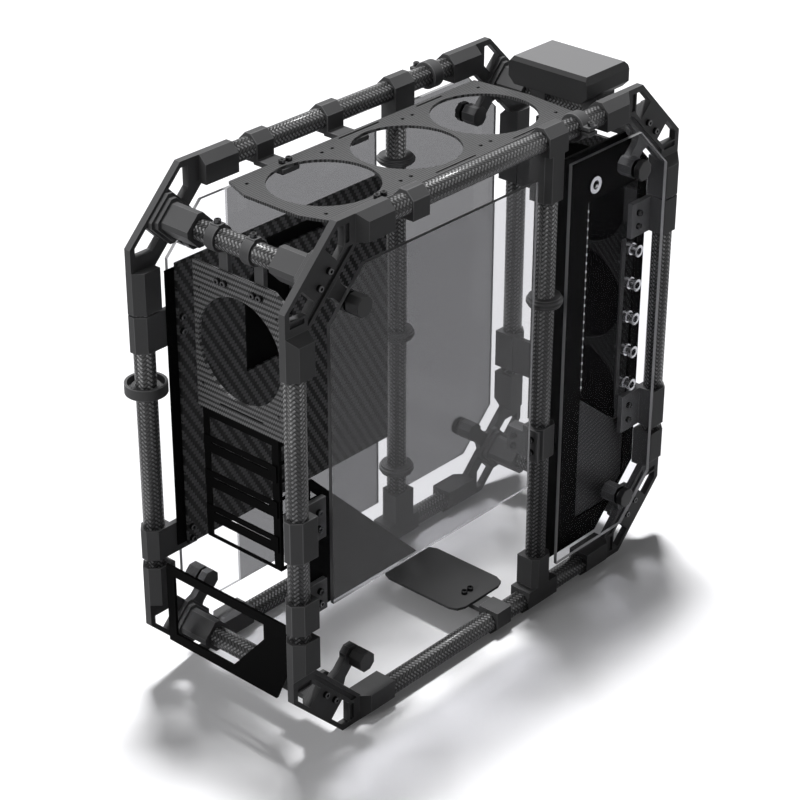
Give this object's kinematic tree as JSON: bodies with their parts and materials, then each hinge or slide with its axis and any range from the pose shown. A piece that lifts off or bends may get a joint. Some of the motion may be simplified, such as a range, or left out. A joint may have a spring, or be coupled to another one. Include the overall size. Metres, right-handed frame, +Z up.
{
  "type": "computer case",
  "caption": "Open-frame computer case of carbon tubes and black corner brackets with tinted glass sides, fan plates and a small control box on top.",
  "frame": {"origin": "middle of the whole outline, on the surface that the case stands on", "axes": "+X to the front of the case, +Y to the far side, +Z up"},
  "size_m": [0.61, 0.2544, 0.57],
  "materials": {
    "carbon_tube": "glossy braided carbon fibre tube",
    "carbon_plate": "satin twill carbon fibre plate",
    "frame_plastic": "matte moulded black plastic",
    "tinted_glass": "clear grey tinted glass",
    "clear_acrylic": "polished clear acrylic",
    "bright_metal": "bright plated metal",
    "dark_steel": "blackened steel screws",
    "black_plate": "smooth black paint",
    "box_plastic": "fine textured black plastic",
    "button_metal": "dark anodised"
  },
  "bodies": {
    "case": {"block_fittings": "clear_acrylic", "block_panel": "black_plate", "block_plate": "carbon_plate", "bottom_plate": "black_plate", "box_base": "box_plastic", "box_mounts": "frame_plastic", "box_shell": "box_plastic", "bracket_bolts": "dark_steel", "bracket_far_front_bottom": "frame_plastic", "bracket_far_front_top": "frame_plastic", "bracket_far_rear_bottom": "frame_plastic", "bracket_far_rear_top": "frame_plastic", "bracket_near_front_bottom": "frame_plastic", "bracket_near_front_top": "frame_plastic", "bracket_near_rear_bottom": "frame_plastic", "bracket_near_rear_top": "frame_plastic", "cable_rings": "frame_plastic", "clamp_bolts": "dark_steel", "clamp_bottom_plate": "frame_plastic", "clamp_far_front_lower": "frame_plastic", "clamp_far_front_upper": "frame_plastic", "clamp_far_rear_lower": "frame_plastic", "clamp_far_rear_upper": "frame_plastic", "clamp_near_front_lower": "frame_plastic", "clamp_near_front_upper": "frame_plastic", "clamp_near_middle": "frame_plastic", "clamp_near_rear_lower": "frame_plastic", "clamp_near_rear_upper": "frame_plastic", "corner_posts": "carbon_tube", "cross_tubes": "carbon_tube", "distribution_block": "clear_acrylic", "foot_bolts": "dark_steel", "front_fan_plate": "black_plate", "front_screen": "black_plate", "glass_far_front": "tinted_glass", "glass_far_rear": "tinted_glass", "glass_holders": "frame_plastic", "glass_knobs": "frame_plastic", "glass_near_front": "tinted_glass", "glass_near_rear": "tinted_glass", "long_tubes": "carbon_tube", "middle_posts": "carbon_tube", "near_lower_plate": "black_plate", "plate_bolts": "dark_steel", "port_ring": "bright_metal", "post_rings": "frame_plastic", "psu_plate": "black_plate", "rear_plate": "carbon_plate", "rear_straps": "frame_plastic", "slot_bracket": "black_plate", "slot_covers": "black_plate", "tee_far_bottom": "frame_plastic", "tee_far_top": "frame_plastic", "tee_near_bottom": "frame_plastic", "tee_near_top": "frame_plastic", "top_collars": "frame_plastic", "top_plate": "carbon_plate", "tray": "carbon_plate", "tray_strip": "black_plate"},
    "button": {"power_button": "button_metal"}
  },
  "joints": [
    {"name": "power_press", "type": "slide", "parent": "case", "child": "button", "axis": [-1, 0, 0], "range_m": [0, 0.0015]}
  ]
}
